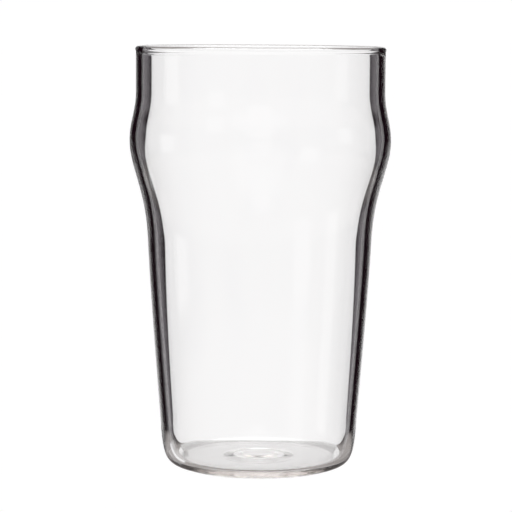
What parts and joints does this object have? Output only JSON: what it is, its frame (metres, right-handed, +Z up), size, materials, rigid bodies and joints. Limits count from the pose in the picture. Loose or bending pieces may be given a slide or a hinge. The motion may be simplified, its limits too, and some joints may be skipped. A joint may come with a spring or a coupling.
{
  "type": "pint glass",
  "caption": "Clear thin-walled nonic pint glass with a straight collar, a bulge below it, a tapered body and a rounded base.",
  "frame": {"origin": "centre of the flat ring under the base, on the surface that the glass stands on", "axes": "+Z up along the glass's axis of revolution, from the base to the rim; X and Y are interchangeable"},
  "size_m": [0.088, 0.088, 0.142],
  "materials": {
    "clear_glass": "clear, colourless borosilicate glass, smooth and fire-polished at the rim"
  },
  "bodies": {
    "root": {"glass_vessel": "clear_glass"}
  },
  "joints": []
}
